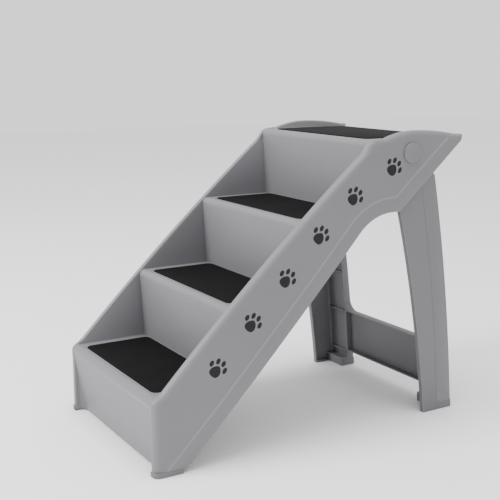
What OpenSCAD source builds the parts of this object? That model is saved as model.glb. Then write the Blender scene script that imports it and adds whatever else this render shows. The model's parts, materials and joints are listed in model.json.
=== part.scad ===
// Folding pet stairs: a moulded four-step flight that stands on its front corners
// and on a fold-out leg frame. X is the width, Y the climb (the front is y = 0), Z up.
// The origin is at floor level, in the middle of the whole outline.

/* [Steps] */
// Height of each riser
riser_h = 125; // [115:1:140]
// Depth of each step, nose to nose
tread_run = 134; // [124:1:150]
// Thickness of the treads and risers
tread_t = 3.2; // [2.8:0.1:4]
// Radius of the rounded nosings
nose_r = 10; // [8:0.5:12]
// How far the foot of a riser stands behind its nosing
riser_lean = 7; // [4:0.5:10]
// How far the foot of the front panel stands behind its nosing
front_lean = 15.5; // [12:0.5:20]
// Height of the front panel's lower edge above the floor
front_gap = 5; // [4:0.5:12]
// Depth of the top step behind its nosing
top_depth = 190; // [180:1:200]

/* [Rails] */
// Width over the plain side faces
body_w = 354.8; // [330:0.2:380]
// Thickness of the side walls
wall_t = 2.4; // [2:0.1:2.8]
// Width of the hollow rails beside the steps
rail_w = 15.4; // [14.8:0.1:18]
// Radius of a rail's outer shoulder
shoulder_r = 11; // [9:0.5:12]
// Radius of a rail's inner edge
rail_edge_r = 3; // [2.5:0.5:4]
// How far the ends of a rail lie below the line of the nosings
rail_drop = 10.5; // [8:0.5:14]
// Upward bow of a rail between its ends
rail_bow = 8; // [6:0.5:10]
// Height of the crown beside the top step
crown_rise = 13.5; // [10:0.5:18]
// Radius of the crown's front arc
crown_r = 190; // [170:5:210]
// Radius of the crown's rear arc
crown_back_r = 480; // [400:10:600]
// Radius of the bend where a rail leaves the front corner
front_bend_r = 14; // [14:0.5:18]

/* [Side panels] */
// Length of a front foot on the floor
foot_len = 48; // [40:1:60]
// Angle of the lower edge where it leaves the foot
belly_a = 44.2; // [43.5:0.1:45]
// Radius of the lower edge's slight belly
belly_r = 7400; // [6500:100:9000]
// Radius of the arch in front of the legs
arch_r = 90; // [70:5:110]
// Depth of the side panel below the top step, at the arch
arch_depth = 122.5; // [118:0.5:128]
// Distance from the pivot forward to the corner behind the arch
arch_corner = 22.6; // [18:0.2:26]
// Angle of the lower edge behind that corner
tail_a = 40.9; // [40:0.1:42]
// How far the rails' tips stand behind the top step
tail_over = 11; // [9:0.5:14]
// Width of the raised band along the lower edge
band_w = 27; // [20:1:32]
// Height of the band above the plain side face
band_proud = 1.4; // [1:0.1:2]
// Width of the band's bevel
band_bevel = 3; // [2:0.5:5]

/* [Leg frame] */
// Distance from the rear of the top step forward to the leg pivot
pivot_ahead = 103; // [100:0.5:106]
// Depth of the pivot below the top step
pivot_drop = 23.2; // [23:0.1:25]
// Length of a leg's foot on the floor
leg_foot = 64.5; // [56:0.5:70]
// How far the front of a leg's foot stands behind the pivot
leg_reach = 50.9; // [46:0.1:54]
// Lean of the front edge between floor and arch
leg_front_lean = 69.5; // [66:0.5:74]
// Lean of the rear edge over its height
leg_rear_lean = 58.6; // [56:0.2:62]
// Rearward bow of both edges
leg_bow = 7.5; // [5:0.5:9]
// Wall thickness of the leg frame
leg_t = 2.8; // [2.4:0.1:3.2]
// Width of the rear flange of a leg
flange_w = 55.5; // [50:0.5:62]
// Depth of the rim round the frame's opening
rim_d = 12; // [8:0.5:13]
// Depth of the set-back front half of a leg's outer face
leg_step = 0.5; // [0.3:0.1:0.8]
// Height of the cross panel's lower edge
panel_z = 31; // [26:1:40]
// Height of the cross panel
panel_h = 90; // [70:1:100]
// Radius where the cross panel's top edge meets the legs
panel_r = 22; // [10:1:30]

/* [Pivot] */
// Radius of the pivot pins
pin_r = 8; // [6:0.5:9]
// Radius of a pin's round head
pin_head_r = 17; // [14:0.5:18]
// Thickness of a pin's head
pin_head_t = 2.4; // [2:0.1:4]
// Radius of the eye round the pivot on each leg
leg_eye_r = 26; // [22:1:27]
// Radius of the cap that holds a pin
cap_r = 12; // [10:0.5:14]
// Thickness of that cap
cap_t = 3.4; // [3:0.1:5]

/* [Mats and feet] */
// Width of the tread mats
mat_w = 284; // [240:2:300]
// Distance from a nosing to its mat
mat_inset = 16; // [12:1:22]
// Thickness of the mats
mat_t = 2.2; // [1.8:0.1:3]
// Depth of the recess that holds a mat
mat_recess = 1; // [0.6:0.1:1.4]
// Corner radius of the mats
mat_r = 11; // [6:1:16]
// Gap between a mat and the rear of the top step
mat_end = 14; // [10:1:20]
// Thickness of the rubber soles
sole_t = 2; // [1.5:0.1:3]
// Height of the rubber cup round a front foot
cup_h = 8; // [6:0.5:12]
// Thickness of that cup's wall
cup_t = 0.9; // [0.8:0.1:1.5]
// Height of the rubber heel on a leg
heel_h = 15; // [10:1:20]
// How far the heel stands out behind the leg
heel_proud = 1.2; // [0.8:0.1:2]

/* [Hidden] */
$fn = 48;
steps = 4;
over = 1;            // overrun of cuts
gap = 0.3;           // clearance between parts that move past each other
bore_gap = 0.05;     // radial clearance of the pins
body_c = [0.62, 0.62, 0.635];
mat_c = [0.1, 0.1, 0.105];
rubber_c = [0.45, 0.45, 0.46];

// Levels and stations of the flight
top_z = steps * riser_h;
top_y = (steps - 1) * tread_run;
side_x = body_w / 2;
chan_x = side_x - wall_t;
rail_x = side_x - rail_w;
step_x = rail_x + wall_t;
band_from = shoulder_r * 0.8;
flight_x = rail_x + wall_t / 2;
tail_len = top_depth + tail_over;
tip_y = top_y + tail_len;
// Axis of the legs' pivot
pivot = [top_y + top_depth - pivot_ahead, top_z - pivot_drop];
// Rail crest: bend, long bow, crown and tail arcs, each tangent to the next
chord_a = atan2(riser_h, tread_run);
chord_l = norm([top_y, top_z - riser_h]);
bow_r = chord_l * chord_l / (8 * rail_bow) + rail_bow / 2;
bow_c = [top_y / 2, (riser_h + top_z) / 2 - rail_drop]
        + (bow_r - rail_bow) * [sin(chord_a), -cos(chord_a)];
bend_c = [front_bend_r,
          bow_c[1] + sqrt(pow(bow_r - front_bend_r, 2) - pow(bow_c[0] - front_bend_r, 2))];
crown_z = top_z + crown_rise;
crown_c = [bow_c[0] - sqrt(pow(bow_r - crown_r, 2) - pow(crown_z - crown_r - bow_c[1], 2)),
           crown_z - crown_r];
tail_c = [crown_c[0], crown_z - crown_back_r];
bow_a0 = dir(bow_c, crown_c);
bow_a1 = dir(bow_c, bend_c);

// Lower edge: belly, arch, level run, corner and tail
belly_c = [foot_len, 0] + belly_r * [-sin(belly_a), cos(belly_a)];
arch_z = top_z - arch_depth;
arch_c = [belly_c[0] + sqrt(pow(belly_r + arch_r, 2) - pow(arch_z - arch_r - belly_c[1], 2)),
          arch_z - arch_r];
belly_a0 = dir(belly_c, [foot_len, 0]);
belly_a1 = dir(belly_c, arch_c);
arch_a0 = dir(arch_c, belly_c);
corner = [pivot[0] - arch_corner, arch_z];

// Legs, in the open position
leg_x = chan_x - gap;
leg_in = step_x + gap;
flange_x = leg_x - flange_w;
foot_y0 = pivot[0] + leg_reach;
foot_y1 = foot_y0 + leg_foot;
front_edge = edge_arc([foot_y0, 0], [foot_y0 - leg_front_lean, arch_z]);
rear_top = top_z - arch_depth * 8 / 15;
rear_edge = edge_arc([foot_y1, 0], [foot_y1 - leg_rear_lean, rear_top]);
mid_y = (rear_edge[0][0] + (rear_edge[1] + heel_proud) * cos(rear_edge[2]) - cup_t) / 2;
flange_top = pivot[1] - 2 * leg_eye_r;
rear_edge_top = [foot_y1 - leg_rear_lean, rear_top];
stop_from = 16;   // distance from the top of a leg's rear edge to the stop rib
stop_len = 22;    // length of the stop rib
stop_w = 9;       // depth of the stop rib in the rail
mat_gap = 2.5;    // gap between a mat and the riser behind it
rib_d = 8;        // depth of the gussets below a nosing
rib_shares = [-0.78, -0.26, 0.26, 0.78];
gusset_shares = [0, 0.97, 1.9, 2.8];

function reversed(v) = [for (i = [len(v) - 1:-1:0]) v[i]];
function dir(a, b) = atan2(b[1] - a[1], b[0] - a[0]);
function arc(c, r, a0, a1, n) = [for (i = [0:n]) let (a = a0 + (a1 - a0) * i / n) c + r * [cos(a), sin(a)]];
// An arc through p and q that bows rearwards: [centre, radius, angle at p, angle at q]
function edge_arc(p, q) = let (l = norm(q - p), r = l * l / (8 * leg_bow) + leg_bow / 2,
    a = dir(p, q), c = (p + q) / 2 + (r - leg_bow) * [-sin(a), cos(a)])
    [c, r, dir(c, p), dir(c, q)];
// Height of the tail's straight lower edge
function tail_z(y) = corner[1] + tan(tail_a) * (y - corner[0]);
function nose_y(i) = (i - 1) * tread_run;
function level(i) = i * riser_h;

// Lower edge from the foot to the tip
function lower_edge(z0) = concat([[0, z0], [foot_len, z0]],
    arc(belly_c, belly_r, belly_a0 + 0.02, belly_a1, 8),
    arc(arch_c, arch_r, arch_a0, 90, 12), [corner, [tip_y, tail_z(tip_y)]]);
// Crest from the tip to the front, drawn in by d
function crest(d) = concat(
    arc(tail_c, crown_back_r - d, acos((tip_y - tail_c[0]) / (crown_back_r - d)), 90, 5),
    arc(crown_c, crown_r - d, 90, bow_a0, 10),
    arc(bow_c, bow_r - d, bow_a0, bow_a1, 10),
    d < front_bend_r ? arc(bend_c, front_bend_r - d, bow_a1, 180, 5) : [[d, bend_c[1]]]);
// Crest from the front foot to past the tip, as [point, outward normal]
function spokes(c, r, a0, a1, n) = [for (i = [1:n]) let (a = a0 + (a1 - a0) * i / n)
    [c + r * [cos(a), sin(a)], [cos(a), sin(a)]]];
crest_path = concat([[[0, 0], [-1, 0]], [[0, bend_c[1]], [-1, 0]]],
    spokes(bend_c, front_bend_r, 180, bow_a1, 5), spokes(bow_c, bow_r, bow_a1, bow_a0, 10),
    spokes(crown_c, crown_r, bow_a0, 90, 10),
    spokes(tail_c, crown_back_r, 90, acos((tip_y + wall_t - tail_c[0]) / crown_back_r), 5));

module side_view(x0, x1) translate([x0, 0, 0]) rotate([90, 0, 90]) linear_extrude(x1 - x0) children();
module both() { children(); mirror([1, 0, 0]) children(); }

// Section of a rail, in [height above the crest, x]: an inverted U with a round shoulder outside
// and a small edge inside. It runs along the outer side, and back along the inner side.
u_d = shoulder_r + wall_t * 5 / 6;
u_n = 5;
u_out = concat([[-u_d, rail_x]],
    [for (i = [0:2]) let (a = 45 * i) [-rail_edge_r * (1 - sin(a)), rail_x + rail_edge_r * (1 - cos(a))]],
    [for (i = [0:u_n]) let (a = 90 * i / u_n) [-shoulder_r * (1 - cos(a)), side_x - shoulder_r * (1 - sin(a))]],
    [[-u_d, side_x]]);
u_in = concat([[-u_d, step_x], [-wall_t, step_x]],
    [for (i = [0:u_n]) let (a = 90 * i / u_n, r = shoulder_r - wall_t) [-wall_t - r * (1 - cos(a)), chan_x - r * (1 - sin(a))]],
    [[-u_d, chan_x]]);
function u_cap(last) = concat([[0, 1, last - 1, last], [1, 2, last - 1], [2, 3, last - 1]],
    [for (i = [3:u_n + 4]) [i, i + 1, last - i + 1, last - i + 2]]);
// A section of [height, x] swept along a path of [point, normal]; cap lists the faces of its ends
module sweep(path, section, cap) {
    k = len(section);
    m = len(path);
    polyhedron([for (s = path) for (q = section) [q[1], s[0][0] + q[0] * s[1][0], s[0][1] + q[0] * s[1][1]]],
        concat(cap, [for (f = cap) reversed([for (i = f) (m - 1) * k + i])],
            [for (j = [0:m - 2]) for (i = [0:k - 1]) let (a = j * k + i, b = j * k + (i + 1) % k)
                each [[a, b + k, b], [a, a + k, b + k]]]));
}
module crest_sweep() sweep(crest_path, concat(u_out, reversed(u_in)), u_cap(len(u_out) + len(u_in) - 1));

// Side view below the crest, drawn in by d, and above the lower edge
module below_crest(d) polygon(concat(crest(d), [[max(d, -over), sole_t], [tip_y, sole_t]]));
module outline_2d(d) intersection() {
    below_crest(d);
    polygon(concat(lower_edge(sole_t), [[tip_y, top_z + riser_h], [-over, top_z + riser_h], [-over, sole_t]]));
}
// A hollow rail with its walls
module rail() {
    lap = (u_d + shoulder_r) / 2;
    intersection() {
        crest_sweep();
        side_view(rail_x - over, side_x + over) outline_2d(-over);
    }
    side_view(chan_x, side_x) outline_2d(lap);
    side_view(rail_x, step_x) difference() { outline_2d(lap); mass_2d(tread_t / 2); }
    // ends of the nosings, where they stand above the rail
    side_view(rail_x, step_x) difference() { mass_2d(0); below_crest(lap + wall_t); }
    for (i = [1, steps]) translate([step_x, nose_y(i) + nose_r, level(i) - nose_r]) sphere(nose_r);
    side_view(rail_x + wall_t / 2, chan_x + wall_t / 2) tip_2d();
    band();
    foot_box();
}
// Wall that closes a rail at its tip
module tip_2d() intersection() {
    outline_2d(wall_t / 2);
    translate([tip_y - wall_t, 0]) square([wall_t, crown_z]);
}
// Sole plate and proud outer face of a front foot
module foot_box() {
    mid = wall_t / 2;
    translate([0, 0, sole_t]) linear_extrude(wall_t) {
        translate([side_x - shoulder_r, shoulder_r]) circle(shoulder_r - mid);
        translate([rail_x + mid, mid]) square([rail_w - shoulder_r - mid, foot_len - mid]);
        translate([side_x - shoulder_r, shoulder_r]) square([shoulder_r - mid, foot_len - shoulder_r]);
    }
    side_view(chan_x, side_x + band_proud) translate([band_from, sole_t]) square([foot_len - band_from, cup_h - sole_t]);
}

// Raised band with a bevelled upper edge, along the lower edge
band_in = wall_t / 2;
tail_n = [-sin(tail_a), cos(tail_a)];
lower_path = concat([[[foot_len, 0] - 2 * band_w * [cos(belly_a), sin(belly_a)], [-sin(belly_a), cos(belly_a)]]],
    [for (i = [1:8]) let (a = belly_a0 + (belly_a1 - belly_a0) * i / 8)
        [belly_c + belly_r * [cos(a), sin(a)], -[cos(a), sin(a)]]],
    spokes(arch_c, arch_r, arch_a0, 90, 12),
    [[corner, ([0, 1] + tail_n) / (1 + tail_n[1])],
     [corner + ((tip_y - corner[0]) / cos(tail_a) + band_w) * [cos(tail_a), sin(tail_a)], tail_n]]);
module band() intersection() {
    sweep(lower_path, [[-over, side_x - band_in], [band_w + band_bevel * band_in / band_proud, side_x - band_in],
        [band_w - band_bevel, side_x + band_proud], [-over, side_x + band_proud]], [[0, 1, 2, 3]]);
    side_view(chan_x - over, side_x + band_proud + over) outline_2d(band_from);
}

// Angle of a riser from the vertical, tangent to its nosing
function riser_a(i) = let (lean = i > 1 ? riser_lean : front_lean,
    h = riser_h - nose_r - (i > 1 ? 0 : front_gap), w = lean - nose_r)
    atan2(w, h) + asin(nose_r / norm([w, h]));
// Space below the steps, drawn in by d: rounded nosings and leaning risers
module mass_2d(d) {
    y1 = top_y + top_depth - d;
    for (i = [1:steps]) {
        y = nose_y(i); z = level(i);
        lean = i > 1 ? riser_lean : front_lean;
        foot = i > 1 ? level(i - 1) - nose_r : d > 0 ? -over : front_gap;
        a = riser_a(i);
        nose = [y + nose_r, z - nose_r];
        from = nose - (nose_r - d) * [cos(a), sin(a)];
        translate(nose) circle(nose_r - d);
        polygon([from, [from[0] + (from[1] - foot) * tan(a), foot], [y1, foot], [y1, z - d], [nose[0], z - d], nose]);
    }
}
module flight() side_view(-flight_x, flight_x) {
    difference() {
        mass_2d(0);
        mass_2d(tread_t);
        translate([top_y + top_depth - tread_t - over, -over])
            square([tread_t + 2 * over, tail_z(top_y + top_depth) + 2 * tread_t + over]);
    }
    translate([front_lean, front_gap]) square([3 * tread_t, tread_t]);
}

// Gussets between the treads and the risers below their nosings
module tread_ribs() for (q = rib_shares) for (i = [1:steps])
    let (x = q * rail_x, y = nose_y(i) + tread_t / 2, z = level(i) - tread_t / 2, a = riser_a(i))
    side_view(x - tread_t / 3, x + tread_t / 3)
        polygon([[y, level(i) - nose_r], [nose_y(i) + nose_r, level(i) - nose_r] + (nose_r - tread_t / 2) * [-sin(45), sin(45)],
                 [nose_y(i) + nose_r, z], [y + tread_run / 3, z], [y + rib_d * tan(a), level(i) - nose_r - rib_d]]);
// Inner bearing of a pivot pin, hung from the top step
module bearing_2d() difference() {
    union() {
        translate(pivot) circle(cap_r + wall_t);
        translate([pivot[0] - cap_r - wall_t, pivot[1]])
            square([2 * (cap_r + wall_t), pivot_drop - tread_t / 2]);
    }
    translate(pivot) circle(pin_r + bore_gap);
}
// Rib that the open leg rests against
stop_a = dir(rear_edge_top, [pivot[0] + leg_eye_r, pivot[1]]);
module stop_2d() translate(rear_edge_top + gap * [-cos(stop_a + 90), -sin(stop_a + 90)]) rotate([0, 0, stop_a])
    translate([stop_from, -wall_t]) square([stop_len, wall_t]);
module mat_2d(i, d) translate([-mat_w / 2 - d, nose_y(i) + mat_inset - d])
    round_rect(mat_w + 2 * d, mat_y1(i) - nose_y(i) - mat_inset + 2 * d, mat_r + d);
function mat_y1(i) = i < steps ? nose_y(i) + tread_run + riser_lean - mat_gap : top_y + top_depth - mat_end;
module round_rect(w, l, r) {
    translate([r, 0]) square([w - 2 * r, l]);
    translate([0, r]) square([w, l - 2 * r]);
    for (x = [r, w - r]) for (y = [r, l - r]) translate([x, y]) circle(r);
}

module stair_body() color(body_c) difference() {
    union() {
        both() {
            rail();
            side_view(rail_x, step_x) bearing_2d();
            side_view(chan_x - stop_w, chan_x + wall_t / 2) stop_2d();
        }
        flight();
        tread_ribs();
    }
    both() side_view(chan_x - over, side_x + over) translate(pivot) circle(pin_r + bore_gap);
    for (i = [1:steps]) translate([0, 0, level(i) - mat_recess]) linear_extrude(mat_recess + over) mat_2d(i, gap);
}

// A leg's outline: tapering upwards, round at the eye
module leg_2d() {
    polygon(concat(arc(front_edge[0], front_edge[1], front_edge[2], front_edge[3], 14),
        [[pivot[0] - leg_eye_r, pivot[1]], [pivot[0] + leg_eye_r, pivot[1]]],
        arc(rear_edge[0], rear_edge[1], rear_edge[3], rear_edge[2], 14)));
    translate(pivot) circle(leg_eye_r);
}
// Strip of a leg between depths d0 and d1 from an edge, below z1
module edge_strip(e, s, d0, d1, z0, z1) intersection() {
    polygon(concat(arc(e[0], e[1] + s * d0, e[2], e[3], 20), arc(e[0], e[1] + s * d1, e[3], e[2], 20)));
    translate([top_y, z0]) square([tail_len + tread_run, z1 - z0]);
}
module above_floor() intersection() {
    children();
    translate([-body_w, 0, sole_t]) cube([2 * body_w, tip_y + tread_run, top_z]);
}
module leg_side() {
    side_view(leg_x - leg_t, leg_x) leg_2d();
    side_view(leg_in, leg_x) edge_strip(front_edge, 1, 0, leg_t, 0, arch_z);
    side_view(flange_x, leg_x) edge_strip(rear_edge, -1, rim_d, rim_d + leg_t, 0, flange_top);
    side_view(flange_x, flange_x + leg_t) edge_strip(rear_edge, -1, 0, rim_d + leg_t, 0, flange_top);
    side_view(leg_in, leg_x) translate(pivot) circle(pin_r + 2 * leg_t);
    // chamfered corner between web and flange
    side_view(leg_x - 2 * leg_t, leg_x) edge_strip(rear_edge, -1, rim_d, rim_d + 3 * leg_t, 0, flange_top);
    // gussets between web and flange
    for (z = gusset_shares) side_view(flange_x + leg_t, leg_x)
        edge_strip(rear_edge, -1, rim_d, rim_d + 3 * leg_t, panel_z + z * panel_h, panel_z + z * panel_h + leg_t);
    // sole plate
    side_view(flange_x, leg_x) edge_strip(rear_edge, -1, 0, leg_foot / 2, 0, heel_h + leg_t);
    side_view(leg_in, leg_x) edge_strip(front_edge, 1, 0, leg_foot * 2 / 3, 0, sole_t + leg_t);
}
module cross_panel() {
    side_view(-flange_x - leg_t, flange_x + leg_t) {
        edge_strip(rear_edge, -1, 0, leg_t, panel_z, panel_z + panel_h);
        edge_strip(rear_edge, -1, 0, rim_d + leg_t, panel_z, panel_z + leg_t);
        edge_strip(rear_edge, -1, 0, rim_d + leg_t, panel_z + panel_h - leg_t, panel_z + panel_h);
    }
    // rounded corners of the opening above the panel
    both() intersection() {
        side_view(flange_x - panel_r, flange_x + leg_t) edge_strip(rear_edge, -1, 0, rim_d + leg_t, panel_z, flange_top);
        translate([flange_x - panel_r, tip_y + tread_run, panel_z + panel_h]) rotate([90, 0, 0])
            linear_extrude(tip_y + tread_run) difference() {
                translate([0, -leg_t]) square([panel_r + leg_t, panel_r + leg_t]);
                translate([0, panel_r]) circle(panel_r);
                translate([-over, panel_r]) square([panel_r + over, panel_r]);
            }
    }
}
module leg_frame() color(body_c) difference() {
    above_floor() {
        both() leg_side();
        cross_panel();
    }
    both() {
        side_view(leg_in - over, leg_x + over) translate(pivot) circle(pin_r + bore_gap);
        side_view(leg_x - leg_step, leg_x + over) edge_strip(rear_edge, -1, leg_foot / 2, 2 * leg_foot, -over, flange_top);
        heel_space(over);
    }
}
// Room for the rubber heel in a leg's rear corner
module heel_space(d) side_view(flange_x - d, leg_x + d)
    edge_strip(rear_edge, -1, -d, leg_foot / 2, -d, heel_h);

module tread_mat(i) color(mat_c) translate([0, 0, level(i) - mat_recess]) linear_extrude(mat_t) mat_2d(i, 0);
module pivot_pin() color(body_c) {
    side_view(side_x, side_x + pin_head_t) translate(pivot) circle(pin_head_r);
    side_view(rail_x - cap_t, side_x + pin_head_t / 2) translate(pivot) circle(pin_r);
}
module pin_cap() color(body_c) side_view(rail_x - cap_t, rail_x) translate(pivot) difference() {
    circle(cap_r);
    circle(pin_r);
}
// Plan of a front foot, grown by d on its outer and front faces
module foot_plan(d) {
    x1 = side_x + band_proud - band_from;
    intersection() {
        translate([x1, band_from]) circle(band_from + d);
        translate([x1 - over, -d]) square([band_from + over + d, 2 * band_from]);
    }
    translate([rail_x, -d]) square([x1 - rail_x, foot_len + d]);
    translate([x1 - over, band_from]) square([band_from + over + d, foot_len - band_from]);
}
module front_foot() color(rubber_c) difference() {
    linear_extrude(cup_h) foot_plan(cup_t);
    translate([0, 0, sole_t]) linear_extrude(cup_h) { foot_plan(0); translate([rail_x - over, shoulder_r]) square([rail_w, foot_len]); }
}
module rear_foot() color(rubber_c) {
    side_view(flange_x, leg_x) edge_strip(rear_edge, -1, -heel_proud, leg_foot / 2, 0, heel_h);
    side_view(leg_in, leg_x) intersection() {
        edge_strip(rear_edge, -1, leg_foot / 2 - over, leg_foot, 0, sole_t);
        leg_2d();
    }
}
module placed() translate([0, -mid_y, 0]) children();
placed() stair_body();
placed() leg_frame();
placed() tread_mat(1);  // tread_mat_1
placed() tread_mat(2);  // tread_mat_2
placed() tread_mat(3);  // tread_mat_3
placed() tread_mat(4);  // tread_mat_4
placed() mirror([1, 0, 0]) pivot_pin();  // pivot_pin_left
placed() pivot_pin();  // pivot_pin_right
placed() mirror([1, 0, 0]) pin_cap();  // pin_cap_left
placed() pin_cap();  // pin_cap_right
placed() mirror([1, 0, 0]) front_foot();  // front_foot_left
placed() front_foot();  // front_foot_right
placed() mirror([1, 0, 0]) rear_foot();  // rear_foot_left
placed() rear_foot();  // rear_foot_right
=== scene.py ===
import bmesh
import bpy
import json
import math
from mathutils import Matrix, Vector

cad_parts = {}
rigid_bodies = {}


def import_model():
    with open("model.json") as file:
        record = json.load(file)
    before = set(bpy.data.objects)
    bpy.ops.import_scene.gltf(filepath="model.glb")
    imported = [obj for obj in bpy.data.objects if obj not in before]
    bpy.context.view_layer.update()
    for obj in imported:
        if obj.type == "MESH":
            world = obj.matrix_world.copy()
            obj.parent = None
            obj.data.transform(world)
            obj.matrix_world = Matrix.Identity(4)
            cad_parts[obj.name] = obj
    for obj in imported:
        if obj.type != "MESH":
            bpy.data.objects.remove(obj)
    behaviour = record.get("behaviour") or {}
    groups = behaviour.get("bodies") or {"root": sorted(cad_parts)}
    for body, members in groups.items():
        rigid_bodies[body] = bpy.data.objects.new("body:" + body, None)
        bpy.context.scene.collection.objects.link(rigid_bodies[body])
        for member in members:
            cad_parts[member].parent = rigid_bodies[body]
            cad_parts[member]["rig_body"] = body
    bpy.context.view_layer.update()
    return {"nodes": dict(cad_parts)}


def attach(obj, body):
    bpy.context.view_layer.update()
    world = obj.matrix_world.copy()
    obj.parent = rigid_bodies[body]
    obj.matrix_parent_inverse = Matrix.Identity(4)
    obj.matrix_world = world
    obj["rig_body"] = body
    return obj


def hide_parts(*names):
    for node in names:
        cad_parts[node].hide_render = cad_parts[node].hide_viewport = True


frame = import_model()
nodes = frame["nodes"]
bpy.ops.object.select_all(action="DESELECT")
print("frame loaded")

# the front face lies midY in front of the origin, the rails' outer sides at sideX
placing = {"midY": 0.302349, "sideX": 0.1774}

cameraView = {
    "place": (1.3953, -0.5633 - placing["midY"], 0.6256),
    "looks": (-0.8404, 0.5053, -0.1961),
    "lens": 67.32,
    "sensor": 36.0,
    "nearest": 0.01,
}


def facing(direction):
    return Vector(direction).to_track_quat("-Z", "Y").to_euler()


bpy.ops.object.camera_add(location=cameraView["place"])
camera = bpy.context.object
camera.rotation_euler = facing(cameraView["looks"])
camera.data.sensor_width = cameraView["sensor"]
camera.data.lens = cameraView["lens"]
camera.data.clip_start = cameraView["nearest"]
bpy.context.scene.camera = camera
print("camera placed")

# node sockets that share a name go by number
colourMix = {"share": 0, "first": 6, "second": 7, "result": 2}
mathInput = {"first": 0, "second": 1, "added": 2}


def newGroup(name, takes, gives):
    # a node group with its named sockets, and the nodes at its two ends
    group = bpy.data.node_groups.new(name, "ShaderNodeTree")
    for inOut, sockets in (("INPUT", takes), ("OUTPUT", gives)):
        for title, kind in sockets.items():
            group.interface.new_socket(name=title, in_out=inOut, socket_type=f"NodeSocket{kind}")
    return group, group.nodes.new("NodeGroupInput"), group.nodes.new("NodeGroupOutput")


def wire(tree, start, startName, end, endName):
    tree.links.new(start.outputs[startName], end.inputs[endName])


def addNode(tree, kind, **values):
    # values are the node's own settings, or else its inputs
    made = tree.nodes.new(kind)
    for name, value in values.items():
        if hasattr(made, name):
            setattr(made, name, value)
        else:
            made.inputs[name].default_value = value
    return made


def stretch(tree, low, high):
    # spreads what lies between low and high over 0 to 1
    made = tree.nodes.new("ShaderNodeMapRange")
    made.inputs["From Min"].default_value = low
    made.inputs["From Max"].default_value = high
    return made


def blendColours(tree, shareNode, shareName, start, firstName, secondName, end):
    blend = addNode(tree, "ShaderNodeMix", data_type="RGBA")
    wire(tree, shareNode, shareName, blend, colourMix["share"])
    wire(tree, start, firstName, blend, colourMix["first"])
    wire(tree, start, secondName, blend, colourMix["second"])
    wire(tree, blend, colourMix["result"], end, "Colour")


grainLook = {
    "detail": 3.0, "rough": 0.6,
    "flowDetail": 4.0, "flowRough": 0.55,
    "flowFrom": 0.35, "flowTo": 0.65,
    "shineSpread": 0.16, "shineMiddle": 0.08,
}


def mouldGrainGroup():
    # spark-eroded grain of a moulding, with the faint flow marks under it
    takes = {"Vector": "Vector", "Colour": "Color", "Flow Colour": "Color",
             "Grain Scale": "Float", "Flow Scale": "Float", "Roughness": "Float"}
    gives = {"Colour": "Color", "Roughness": "Float", "Height": "Float"}
    group, start, end = newGroup("mouldGrain", takes, gives)
    grain = addNode(group, "ShaderNodeTexNoise",
                    Detail=grainLook["detail"], Roughness=grainLook["rough"])
    wire(group, start, "Vector", grain, "Vector")
    wire(group, start, "Grain Scale", grain, "Scale")
    flow = addNode(group, "ShaderNodeTexNoise",
                   Detail=grainLook["flowDetail"], Roughness=grainLook["flowRough"])
    wire(group, start, "Vector", flow, "Vector")
    wire(group, start, "Flow Scale", flow, "Scale")
    spread = stretch(group, grainLook["flowFrom"], grainLook["flowTo"])
    wire(group, flow, "Fac", spread, "Value")
    blendColours(group, spread, "Result", start, "Colour", "Flow Colour", end)
    # the roughness wanders with the grain around its own value
    lift = addNode(group, "ShaderNodeMath", operation="SUBTRACT")
    wire(group, start, "Roughness", lift, mathInput["first"])
    lift.inputs[mathInput["second"]].default_value = grainLook["shineMiddle"]
    shine = addNode(group, "ShaderNodeMath", operation="MULTIPLY_ADD")
    wire(group, grain, "Fac", shine, mathInput["first"])
    shine.inputs[mathInput["second"]].default_value = grainLook["shineSpread"]
    wire(group, lift, "Value", shine, mathInput["added"])
    wire(group, shine, "Value", end, "Roughness")
    wire(group, grain, "Fac", end, "Height")
    return group


# where the painted edge highlight starts and how it is broken up
highlightSpread = {"edgeFrom": 0.52, "edgeTo": 0.62, "patchScale": 60.0, "patchDetail": 4.0}


def paintedHighlightGroup():
    # painted highlight: sharp edges and corners paler, broken up by a coarse noise
    takes = {"Vector": "Vector", "Colour": "Color", "Highlight Colour": "Color", "Amount": "Float"}
    group, start, end = newGroup("paintedEdgeHighlight", takes, {"Colour": "Color"})
    where = group.nodes.new("ShaderNodeNewGeometry")
    edge = stretch(group, highlightSpread["edgeFrom"], highlightSpread["edgeTo"])
    wire(group, where, "Pointiness", edge, "Value")
    patch = addNode(group, "ShaderNodeTexNoise",
                    Scale=highlightSpread["patchScale"], Detail=highlightSpread["patchDetail"])
    wire(group, start, "Vector", patch, "Vector")
    both = addNode(group, "ShaderNodeMath", operation="MULTIPLY")
    wire(group, edge, "Result", both, mathInput["first"])
    wire(group, patch, "Fac", both, mathInput["second"])
    share = addNode(group, "ShaderNodeMath", operation="MULTIPLY")
    wire(group, both, "Value", share, mathInput["first"])
    wire(group, start, "Amount", share, mathInput["second"])
    blendColours(group, share, "Value", start, "Colour", "Highlight Colour", end)
    return group


mouldGrain = mouldGrainGroup()
paintedEdgeHighlight = paintedHighlightGroup()


def groupNode(tree, group):
    made = tree.nodes.new("ShaderNodeGroup")
    made.node_tree = group
    return made


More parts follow.
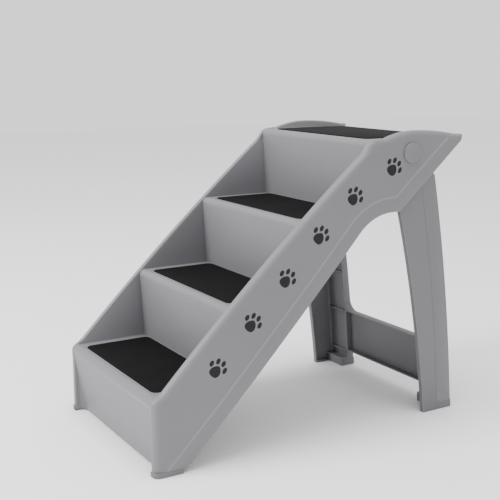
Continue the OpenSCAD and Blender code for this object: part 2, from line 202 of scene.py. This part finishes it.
def grainedMaterial(name, look):
    # what all finishes share: the grain in colour, roughness and bump
    material = bpy.data.materials.new(name)
    material.use_nodes = True
    tree = material.node_tree
    shader = tree.nodes["Principled BSDF"]
    place = tree.nodes.new("ShaderNodeTexCoord")
    grain = groupNode(tree, mouldGrain)
    grain.inputs["Colour"].default_value = (*look["colour"], 1)
    grain.inputs["Flow Colour"].default_value = (*look["flowColour"], 1)
    grain.inputs["Grain Scale"].default_value = look["grainScale"]
    grain.inputs["Flow Scale"].default_value = look["flowScale"]
    grain.inputs["Roughness"].default_value = look["roughness"]
    bump = tree.nodes.new("ShaderNodeBump")
    bump.inputs["Strength"].default_value = look["bump"]
    bump.inputs["Distance"].default_value = look["depth"]
    wire(tree, place, "Object", grain, "Vector")
    wire(tree, grain, "Colour", shader, "Base Color")
    wire(tree, grain, "Roughness", shader, "Roughness")
    wire(tree, grain, "Height", bump, "Height")
    wire(tree, bump, "Normal", shader, "Normal")
    shader.inputs["Specular IOR Level"].default_value = look["gloss"]
    return {"material": material, "tree": tree, "shader": shader,
            "place": place, "grain": grain, "bump": bump}


def mouldedPlastic(name, look):
    # the grain, with a painted highlight that makes sharp edges paler
    made = grainedMaterial(name, look)
    tree = made["tree"]
    edgeHighlight = groupNode(tree, paintedEdgeHighlight)
    edgeHighlight.inputs["Highlight Colour"].default_value = (*look["highlightColour"], 1)
    edgeHighlight.inputs["Amount"].default_value = look["edgeHighlight"]
    wire(tree, made["place"], "Object", edgeHighlight, "Vector")
    wire(tree, made["grain"], "Colour", edgeHighlight, "Colour")
    wire(tree, edgeHighlight, "Colour", made["shader"], "Base Color")
    made["shader"].inputs["IOR"].default_value = look["ior"]
    return made["material"]


# the paler edge colour and its share are a painted highlight on sharp edges
greyLook = {
    "colour": (0.15, 0.15, 0.16), "flowColour": (0.157, 0.157, 0.167),
    "highlightColour": (0.27, 0.27, 0.28), "edgeHighlight": 0.4,
    "grainScale": 1100.0, "flowScale": 7.0,
    "roughness": 0.46, "bump": 0.12, "depth": 0.0004, "gloss": 0.5, "ior": 1.49,
}
legLook = dict(greyLook, colour=(0.13, 0.13, 0.139), flowColour=(0.136, 0.136, 0.145))
footLook = {
    "colour": (0.13, 0.13, 0.137), "flowColour": (0.143, 0.143, 0.15),
    "highlightColour": (0.24, 0.24, 0.24), "edgeHighlight": 0.3,
    "grainScale": 700.0, "flowScale": 30.0,
    "roughness": 0.75, "bump": 0.2, "depth": 0.0005, "gloss": 0.3, "ior": 1.49,
}
# how much paler and smoother the painted highlight copies are
paintedHighlightLift = {"plastic": 1.3, "rubber": 1.15, "smoother": 0.06}


def paintedHighlightCopy(look, share):
    # the same finish made paler and smoother, a lit copy that paints a highlight where it is used
    paler = {}
    for part in ("colour", "flowColour"):
        paler[part] = tuple(share * level for level in look[part])
    return dict(look, roughness=look["roughness"] - paintedHighlightLift["smoother"], **paler)


greyPlastic = mouldedPlastic("greyPlastic", greyLook)
legPlastic = mouldedPlastic("legPlastic", legLook)
footRubber = mouldedPlastic("footRubber", footLook)
# paler, smoother copies of the finishes: a painted highlight for rounded edges and the band's bevel
greyPaintedHighlight = mouldedPlastic("greyPaintedHighlight", paintedHighlightCopy(greyLook, paintedHighlightLift["plastic"]))
legPaintedHighlight = mouldedPlastic("legPaintedHighlight", paintedHighlightCopy(legLook, paintedHighlightLift["plastic"]))
footPaintedHighlight = mouldedPlastic("footPaintedHighlight", paintedHighlightCopy(footLook, paintedHighlightLift["rubber"]))

matLook = {
    "colour": (0.0034, 0.0034, 0.0038), "flowColour": (0.0045, 0.0045, 0.0049),
    "grainScale": 1500.0, "flowScale": 25.0,
    "dotScale": 420.0, "dotStray": 0.25, "dotHeight": 0.6,
    "roughness": 0.8, "bump": 0.35, "depth": 0.0006, "gloss": 0.08,
}


def matRubber(name, look):
    # fine dimples all over the mat, with a sandy grain
    made = grainedMaterial(name, look)
    tree = made["tree"]
    dots = addNode(tree, "ShaderNodeTexVoronoi", feature="F1",
                   Scale=look["dotScale"], Randomness=look["dotStray"])
    both = addNode(tree, "ShaderNodeMath", operation="MULTIPLY_ADD")
    both.inputs[mathInput["second"]].default_value = look["dotHeight"]
    wire(tree, made["place"], "Object", dots, "Vector")
    wire(tree, dots, "Distance", both, mathInput["first"])
    wire(tree, made["grain"], "Height", both, mathInput["added"])
    wire(tree, both, "Value", made["bump"], "Height")
    return made["material"]


blackMat = matRubber("blackMat", matLook)

inkLook = {
    "colour": (0.0115, 0.0115, 0.013), "flowColour": (0.014375, 0.014375, 0.01625),
    "grainScale": 1100.0, "flowScale": 160.0,
    "roughness": 0.5, "bump": 0.1, "depth": 0.0003, "gloss": 0.15,
}
darkInk = grainedMaterial("darkInk", inkLook)["material"]
print("materials made")

merging = {
    "doubles": 0.000002,  # corners nearer than this are one
    "slivers": 0.000004,  # faces thinner than this go
    "flat": math.radians(0.4),  # faces that turn less than this are one
}


def onlySelect(piece):
    bpy.ops.object.select_all(action="DESELECT")
    piece.select_set(True)
    bpy.context.view_layer.objects.active = piece


def editAll(piece):
    # opens the piece with all of it selected
    onlySelect(piece)
    bpy.ops.object.mode_set(mode="EDIT")
    bpy.ops.mesh.select_all(action="SELECT")


def closeEdit():
    bpy.ops.object.mode_set(mode="OBJECT")


def applyAll(piece):
    onlySelect(piece)
    for modifier in list(piece.modifiers):
        bpy.ops.object.modifier_apply(modifier=modifier.name)


def linked(name, data):
    piece = bpy.data.objects.new(name, data)
    bpy.context.scene.collection.objects.link(piece)
    return piece


def giveFinishes(piece, *finishes):
    piece.data.materials.clear()
    for finish in finishes:
        piece.data.materials.append(finish)


squareShare = 0.5  # a side that leaves an edge at less than 30 degrees isn't square to it


def sideReach(edge, corner):
    # how far the faces beside an edge go on from one of its corners, square to it
    along = (edge.other_vert(corner).co - corner.co).normalized()
    reach = math.inf
    for beside in corner.link_edges:
        if beside is edge:
            continue
        away = beside.other_vert(corner).co - corner.co
        square = (away - along * away.dot(along)).length
        if square > squareShare * away.length:
            reach = min(reach, square)
    return reach


def weighEdges(piece, edge):
    # outward sharp edges get the full width, or less where the faces beside them are narrow
    sharp = math.radians(edge["angle"])
    shape = bmesh.new()
    shape.from_mesh(piece.data)
    weight = shape.edges.layers.float.new("bevel_weight_edge")
    for side in shape.edges:
        if len(side.link_faces) == 2 and side.calc_face_angle_signed() > sharp:
            room = min(sideReach(side, corner) for corner in side.verts) * edge["share"]
            side[weight] = min(1.0, room / edge["width"])
    shape.to_mesh(piece.data)
    shape.free()


# the crease faces lean between least and most, and lie further out than from
bandCrease = {"least": 0.85, "most": 0.96, "from": 0.1773}


def paintCreaseHighlight(piece):
    # the bevel along the raised band of the sides gets the paler finish, a painted highlight
    for face in piece.data.polygons:
        leans = bandCrease["least"] < abs(face.normal.x) < bandCrease["most"]
        if leans and abs(face.center.x) > bandCrease["from"]:
            face.material_index = 1


# a round end lies below high, before back, and between least and to
soleEnd = {"to": 0.162, "least": 0.15, "high": 0.0047, "back": 0.024}


def drawBackSoles(piece):
    # the front soles' round ends stop at the posts' inner sides
    for corner in piece.data.vertices:
        x, y, z = corner.co
        low = z < soleEnd["high"] and y + placing["midY"] < soleEnd["back"]
        if low and soleEnd["least"] < abs(x) < soleEnd["to"]:
            corner.co.x = math.copysign(soleEnd["to"], x)


def dressedCopy(nodeName, name, finishes, edge, isFlight=False):
    # the node's own shape, merged, its outward sharp edges rounded in the paler copy of its finish,
    # a painted highlight
    source = nodes[nodeName]
    piece = linked(name, source.data.copy())
    giveFinishes(piece, *finishes)
    if isFlight:
        drawBackSoles(piece)
    editAll(piece)
    bpy.ops.mesh.remove_doubles(threshold=merging["doubles"])
    if isFlight:
        bpy.ops.mesh.dissolve_degenerate(threshold=merging["slivers"])
    bpy.ops.mesh.dissolve_limited(angle_limit=merging["flat"])
    closeEdit()
    if piece.data.has_custom_normals:
        bpy.ops.mesh.customdata_custom_splitnormals_clear()
    for face in piece.data.polygons:
        face.material_index = 0
    if isFlight:
        # the band's bevel is painted as a highlight
        paintCreaseHighlight(piece)
    weighEdges(piece, edge)
    ease = piece.modifiers.new("ease", "BEVEL")
    ease.width = edge["width"]
    ease.segments = edge["segments"]
    ease.limit_method = "WEIGHT"
    ease.use_clamp_overlap = False
    # the rounded edges get the last finish, the paler copy that paints a highlight
    ease.material = len(finishes) - 1
    applyAll(piece)
    bpy.ops.object.shade_smooth_by_angle(angle=math.radians(edge["smooth"]))
    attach(piece, source["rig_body"])
    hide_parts(nodeName)
    return piece


shellEdge = {"width": 0.0011, "segments": 3, "angle": 40.0, "smooth": 30.0, "share": 0.42}
smallEdge = {"width": 0.0006, "segments": 2, "angle": 40.0, "smooth": 40.0, "share": 0.42}
matEdge = {"width": 0.0008, "segments": 3, "angle": 50.0, "smooth": 50.0, "share": 0.42}
# each pair is a finish and its paler copy, which paints a highlight
greyPair = (greyPlastic, greyPaintedHighlight)
legPair = (legPlastic, legPaintedHighlight)
footPair = (footRubber, footPaintedHighlight)
matCount = 4

dressedCopy("stair_body", "stairShell", greyPair, shellEdge, isFlight=True)
print("flight dressed")
dressedCopy("leg_frame", "legShell", legPair, shellEdge)
print("leg frame dressed")
for number in range(1, matCount + 1):
    dressedCopy(f"tread_mat_{number}", f"treadMat{number}", (blackMat,), matEdge)

pinDish = {"rim": 0.0034, "floor": 0.0011, "deep": 0.0008, "near": 0.00005}


def dishHead(piece):
    # the head's face sinks inside a plain rim
    far = max(abs(vertex.co.x) for vertex in piece.data.vertices)
    editAll(piece)
    bpy.ops.mesh.select_mode(type="FACE")
    bpy.ops.mesh.select_all(action="DESELECT")
    closeEdit()
    for face in piece.data.polygons:
        face.select = abs(face.center.x) > far - pinDish["near"]
    bpy.ops.object.mode_set(mode="EDIT")
    bpy.ops.mesh.inset(thickness=pinDish["rim"])
    bpy.ops.mesh.inset(thickness=pinDish["floor"], depth=-pinDish["deep"])
    closeEdit()


for side in ("left", "right"):
    sideName = side.title()
    pin = dressedCopy(f"pivot_pin_{side}", f"pivotPin{sideName}",
                      greyPair, smallEdge)
    dishHead(pin)
    dressedCopy(f"pin_cap_{side}", f"pinCap{sideName}", greyPair, smallEdge)
    dressedCopy(f"front_foot_{side}", f"frontFoot{sideName}", footPair, smallEdge)
    dressedCopy(f"rear_foot_{side}", f"rearFoot{sideName}", footPair, smallEdge)
print("mats, pins and feet dressed")


def gridPiece(name, rows, columns, placeAt):
    # a grid of the grey plastic, every corner set by placeAt(row share, column share),
    # with y from the front face
    bpy.ops.mesh.primitive_grid_add(x_subdivisions=columns, y_subdivisions=rows, size=1)
    piece = bpy.context.object
    piece.name = name
    for number, vertex in enumerate(piece.data.vertices):
        row, column = divmod(number, columns + 1)
        x, y, z = placeAt(row / rows, column / columns)
        vertex.co = (x, y - placing["midY"], z)
    editAll(piece)
    bpy.ops.mesh.remove_doubles(threshold=merging["doubles"])
    closeEdit()
    giveFinishes(piece, greyPlastic)
    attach(piece, "stairs")
    return piece


def turnFaces(piece, outward):
    # the sheet's faces look along outward
    if sum(face.normal.dot(outward) * face.area for face in piece.data.polygons) < 0:
        piece.data.flip_normals()


def easeIn(share):
    share = min(1.0, max(0.0, share))
    return share * share * (3 - 2 * share)


rail = {
    "inner": 0.1622, "flat": 0.1664, "outer": 0.1774,  # across: the crest is flat, then round
    "shoulder": 0.011,
    # along the crest: each arc is its centre's y and z and its radius
    "bend": (0.014, 0.108888, 0.014),
    "bow": (3.419484, -3.148215, 4.726328),
    "crown": (0.499643, 0.3235, 0.19),
    "tail": (0.499643, 0.0335, 0.48),
    "crownFrom": 0.3773,
}


def crestAt(along):
    # a point of the crest and its outward normal: along is y, or below 0 the way down the post
    bendY, bendZ, bendRadius = rail["bend"]
    bowY, bowZ, _ = rail["bow"]
    if along < 0:
        return (0.0, bendZ + along), (-1.0, 0.0)
    bendEnd = bendY - bendRadius * (bowY - bendY) / math.hypot(bowY - bendY, bowZ - bendZ)
    if along < bendEnd:
        arc = "bend"
    elif along <= rail["crownFrom"]:
        arc = "bow"
    elif along <= rail["crown"][0]:
        arc = "crown"
    else:
        arc = "tail"
    centreY, centreZ, radius = rail[arc]
    up = math.sqrt(max(0.0, radius ** 2 - (along - centreY) ** 2))
    return (along, centreZ + up), ((along - centreY) / radius, up / radius)


flares = {
    "Top": {"nose": (0.412, 0.490), "from": 0.380, "to": 0.4305, "runOut": 0.021},
    "Low": {"nose": (0.010, 0.115), "from": -0.016, "to": 0.024, "runOut": 0.016},
    "noseRadius": 0.01,
    "treadUp": 0.3,  # the tread counts where the crest's normal points up by this
    "steps": 40,
    "skin": 0.00006,  # lies this far over the shell
    "sunk": 0.00025,  # and runs out this far under it
    "ahead": 0.0003,  # stands this far ahead of the front face at most
    "proud": 0.00003, "proudShare": 0.3,  # off the rail's side, at most and per lift
    "full": 0.0012,  # the lift that makes the shoulder full
    "wide": 0.1642,  # where a full shoulder starts
    "swell": 2.3,  # 2 is a round shoulder, more is squarer
}


def noseHeight(look, point, normal):
    # how far the nosing and its tread stand above a point of the crest, square to it
    noseY, noseZ = look["nose"]
    aheadY, aheadZ = point[0] - noseY, point[1] - noseZ
    half = aheadY * normal[0] + aheadZ * normal[1]
    inside = half * half - aheadY ** 2 - aheadZ ** 2 + flares["noseRadius"] ** 2
    height = -half + math.sqrt(inside) if inside > 0 else -1.0
    if normal[1] > flares["treadUp"]:
        top = (noseZ + flares["noseRadius"] - point[1]) / normal[1]
        if point[0] + normal[0] * top > noseY:
            height = max(height, top)
    return height


def flareHeights(look):
    # rows of point, normal, height and swell: the nosing's height, run out on both sides
    raw = []
    for step in range(flares["steps"] + 1):
        along = look["from"] + (look["to"] - look["from"]) * step / flares["steps"]
        point, normal = crestAt(along)
        raw.append((point, normal, noseHeight(look, point, normal)))
    tops = []
    for point, normal, height in raw:
        spread = height
        for other, _, peak in raw:
            if peak > 0:
                fall = 1 - easeIn(math.dist(point, other) / look["runOut"])
                spread = max(spread, (peak + flares["sunk"]) * fall - flares["sunk"])
        if normal[0] < 0:
            spread = min(spread, (point[0] + flares["ahead"]) / -normal[0])
        lift = max(spread, -flares["sunk"]) + flares["skin"]
        tops.append((point, normal, lift, flares["swell"]))
    return tops


tipLip = {
    "from": 0.5875, "peak": 0.6018, "to": 0.6024,
    "rise": 0.0016, "swell": 9.0, "power": 1.5, "steps": 28,
    "endDrops": (0.0004, 0.0012, 0.0062),  # the end face, row by row
}


def lipHeights():
    # the crest turns up and squares off just before the rail's tip, then ends
    length, rising = tipLip["to"] - tipLip["from"], tipLip["peak"] - tipLip["from"]
    tops = []
    for step in range(tipLip["steps"] + 1):
        along = tipLip["from"] + length * step / tipLip["steps"]
        share = min(1.0, (along - tipLip["from"]) / rising) ** tipLip["power"]
        lift = (tipLip["rise"] + flares["sunk"]) * share - flares["sunk"]
        tops.append((*crestAt(along), lift, 2 + (tipLip["swell"] - 2) * share))
    point, normal = crestAt(tipLip["to"])
    for drop in tipLip["endDrops"]:
        tops.append((point, normal, tipLip["rise"] - drop, tipLip["swell"]))
    return tops


# across the crest: a few columns come up the inner side, the others go round the shoulder
crestColumns = {
    "inner": [{"share": 0.0, "drop": 0.006}, {"share": 0.0, "drop": 0.002},
              {"share": 0.3, "drop": 0.0006}],
    "round": 14,
}


def crestSheet(name, tops, side):
    # a skin over the rail's crest and its round shoulder, lifted row by row
    inner = crestColumns["inner"]
    rows, columns = len(tops) - 1, len(inner) + crestColumns["round"] - 1

    def placeAt(rowShare, columnShare):
        point, normal, height, swell = tops[round(rowShare * rows)]
        column = round(columnShare * columns)
        share = easeIn(height / flares["full"])
        start = rail["flat"] + (flares["wide"] - rail["flat"]) * share
        outer = rail["outer"] + min(flares["proud"], height * flares["proudShare"])
        if column < len(inner):
            x = rail["inner"] + (start - rail["inner"]) * inner[column]["share"]
            lift = height - inner[column]["drop"]
        else:
            turn = math.radians(90) * (column - len(inner)) / (columns - len(inner))
            power = 2 / (2 + (swell - 2) * share)
            x = start + (outer - start) * math.sin(turn) ** power
            fall = max(0.0, math.cos(turn)) ** power
            lift = -rail["shoulder"] + (height + rail["shoulder"]) * fall
        return side * x, point[0] + normal[0] * lift, point[1] + normal[1] * lift

    piece = gridPiece(name, rows, columns, placeAt)
    turnFaces(piece, Vector((side, 0, 0)))
    onlySelect(piece)
    bpy.ops.object.shade_smooth()


panel = {
    "low": (0.01995, 0.0008), "high": (0.0056, 0.1005),  # y and z of its face at both ends
    "edge": 0.162, "postFront": 0.0031,
    "sink": 0.0004,  # the fillet's edges lie this far inside the panel and the post
    "wall": 0.0015,
    "rows": 24, "columns": 10,
}


def cornerFillet(name, side):
    # hollow round between the leaning front panel and the post beside it
    (lowY, lowZ), (highY, highZ) = panel["low"], panel["high"]

    def placeAt(rowShare, columnShare):
        z = lowZ + (highZ - lowZ) * rowShare
        face = lowY + (highY - lowY) * rowShare
        radius = face - panel["postFront"]
        turn = math.radians(90) * columnShare
        x = panel["edge"] + panel["sink"] - radius + radius * math.sin(turn)
        y = face + panel["sink"] - radius + radius * math.cos(turn)
        return side * x, y, z

    piece = gridPiece(name, panel["rows"], panel["columns"], placeAt)
    turnFaces(piece, Vector((0, -1, 0)))
    shell = piece.modifiers.new("wall", "SOLIDIFY")
    shell.thickness = panel["wall"]
    shell.offset = -1  # the wall grows inwards
    applyAll(piece)
    bpy.ops.object.shade_smooth()


footBead = {
    "corner": (0.17, 0.0088), "radius": 0.0079, "inner": 0.1668, "back": 0.0205,
    "height": 0.0074, "thick": 0.0013, "steps": 8, "rounding": 3, "smooth": 50.0,
}


def beadRound(name, side):
    # soft rubber bead that closes the gap between a front foot's cup and the post
    centreX, centreY = footBead["corner"]
    radius = footBead["radius"]
    route = [(footBead["inner"], centreY - radius)]
    for step in range(footBead["steps"] + 1):
        turn = math.radians(-90 + 90 * step / footBead["steps"])
        route.append((centreX + radius * math.cos(turn), centreY + radius * math.sin(turn)))
    route.append((centreX + radius, footBead["back"]))
    line = bpy.data.curves.new(name, "CURVE")
    line.dimensions = "3D"
    line.bevel_depth = footBead["thick"]
    line.bevel_resolution = footBead["rounding"]
    line.use_fill_caps = True
    spline = line.splines.new("POLY")
    spline.points.add(len(route) - 1)
    for point, (x, y) in zip(spline.points, route):
        point.co = (side * x, y - placing["midY"], footBead["height"], 1)
    onlySelect(linked(name, line))
    bpy.ops.object.convert(target="MESH")
    piece = bpy.context.object
    editAll(piece)
    bpy.ops.mesh.remove_doubles(threshold=merging["doubles"])
    bpy.ops.mesh.normals_make_consistent(inside=False)
    closeEdit()
    bpy.ops.object.shade_smooth_by_angle(angle=math.radians(footBead["smooth"]))
    giveFinishes(piece, footRubber)
    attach(piece, "stairs")


sideNames = {1: "Right", -1: "Left"}
for side, sideName in sideNames.items():
    for place in ("Top", "Low"):
        crestSheet(f"nosingFlare{place}{sideName}", flareHeights(flares[place]), side)
    crestSheet(f"tipLip{sideName}", lipHeights(), side)
    cornerFillet(f"cornerFillet{sideName}", side)
    beadRound(f"footBead{sideName}", side)
print("flares, fillets and beads placed")

# a toe is its centre and its half width and height; pad and toes are in units
pawPrint = {
    "centres": [(0.1095, 0.1605), (0.1735, 0.2247), (0.238, 0.2887),
                (0.3025, 0.3528), (0.37, 0.4117), (0.4505, 0.4555)],
    "pad": [(-2.2, 3.0), (1.2, 2.8), (4.1, 1.1), (5.6, -2.9), (5.7, -7.6), (2.9, -13.4),
            (-2.9, -15.9), (-8.3, -13.6), (-12.5, -9.4), (-14.4, -4.4), (-12.2, -0.2), (-7.6, 2.3)],
    "padSteps": 6,
    "toes": [(-9.6, 8.6, 3.7, 5.1), (2.1, 10.2, 3.6, 5.1), (11.4, 4.3, 3.7, 5.0),
             (13.3, -7.2, 3.6, 5.4)],
    "toeLean": 32.0, "toeCorners": 32,
    "unit": 0.001,
    "thick": 0.00015, "clear": 0.00002,
}


def ovalAt(across, up, wide, tall):
    unit = pawPrint["unit"]
    bpy.ops.mesh.primitive_circle_add(vertices=pawPrint["toeCorners"], radius=unit,
                                      fill_type="NGON")
    oval = bpy.context.object
    oval.scale = (wide, tall, 1)
    oval.rotation_euler = (0, 0, math.radians(-pawPrint["toeLean"]))
    oval.location = (across * unit, up * unit, 0)
    bpy.ops.object.transform_apply(location=True, rotation=True, scale=True)
    return oval


def curveThrough(before, start, end, after, t):
    # a point between start and end on a smooth curve through all four
    linear = end - before
    square = 2 * before - 5 * start + 4 * end - after
    cube = 3 * start - before - 3 * end + after
    return 0.5 * (2 * start + linear * t + square * t * t + cube * t ** 3)


def padAt():
    # three-lobed pad: its corners drawn through a smooth closed curve
    corners = [Vector(corner) * pawPrint["unit"] for corner in pawPrint["pad"]]
    count, steps = len(corners), pawPrint["padSteps"]
    bpy.ops.mesh.primitive_circle_add(vertices=steps * count, radius=pawPrint["unit"],
                                      fill_type="NGON")
    pad = bpy.context.object
    for number, vertex in enumerate(pad.data.vertices):
        first, step = divmod(number, steps)
        four = [corners[(first + beside) % count] for beside in (-1, 0, 1, 2)]
        place = curveThrough(*four, step / steps)
        vertex.co = (place.x, place.y, 0)
    turnFaces(pad, Vector((0, 0, 1)))
    return pad


def pawShape():
    # the pad and its toes as one thin print, lying flat at the origin
    bpy.ops.object.select_all(action="DESELECT")
    pad = padAt()
    toes = [ovalAt(*toe) for toe in pawPrint["toes"]]
    onlySelect(pad)
    for toe in toes:
        toe.select_set(True)
    bpy.ops.object.join()
    body = pad.modifiers.new("body", "SOLIDIFY")
    body.thickness = pawPrint["thick"]
    body.offset = 1  # the print grows outwards
    applyAll(pad)
    return pad


paw = pawShape()
printFrom = placing["sideX"] + pawPrint["clear"]
for side, sideName in sideNames.items():
    for number, (along, up) in enumerate(pawPrint["centres"], 1):
        mark = linked(f"pawMark{sideName}{number}", paw.data.copy())
        for corner in mark.data.vertices:
            across, tall, out = corner.co
            corner.co = (side * (printFrom + out), along - placing["midY"] + across, up + tall)
        if side < 0:
            mark.data.flip_normals()
        giveFinishes(mark, darkInk)
        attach(mark, "stairs")
bpy.data.objects.remove(paw)
print("paw marks printed")

stageLook = {
    "floorSize": 14.0, "floor": (0.93, 0.93, 0.94), "floorRoughness": 0.9,
    "sky": (1, 1, 1), "world": 1.35,
}
bpy.ops.mesh.primitive_plane_add(size=stageLook["floorSize"], location=(0, 0, 0))
floor = bpy.context.object
floor.name = "studioFloor"
floorPaint = bpy.data.materials.new("floorPaint")
floorPaint.use_nodes = True
floorShader = floorPaint.node_tree.nodes["Principled BSDF"]
floorShader.inputs["Base Color"].default_value = (*stageLook["floor"], 1)
floorShader.inputs["Roughness"].default_value = stageLook["floorRoughness"]
giveFinishes(floor, floorPaint)

world = bpy.data.worlds.new("studio")
world.use_nodes = True
sky = world.node_tree.nodes["Background"]
sky.inputs["Color"].default_value = (*stageLook["sky"], 1)
sky.inputs["Strength"].default_value = stageLook["world"]
bpy.context.scene.world = world

studioLights = [
    {"name": "key", "place": (-0.5, -2.6, 2.3), "aim": (0, 0, 0.25), "size": 1.2, "power": 108},
    {"name": "top", "place": (0.3, -0.2, 3.2), "aim": (0, 0, 0.25), "size": 1.4, "power": 56},
]
for look in studioLights:
    bpy.ops.object.light_add(type="AREA", location=look["place"])
    light = bpy.context.object
    light.name = look["name"]
    light.data.size = look["size"]
    light.data.energy = look["power"]
    light.rotation_euler = facing(Vector(look["aim"]) - Vector(look["place"]))
print("stage and lights placed")
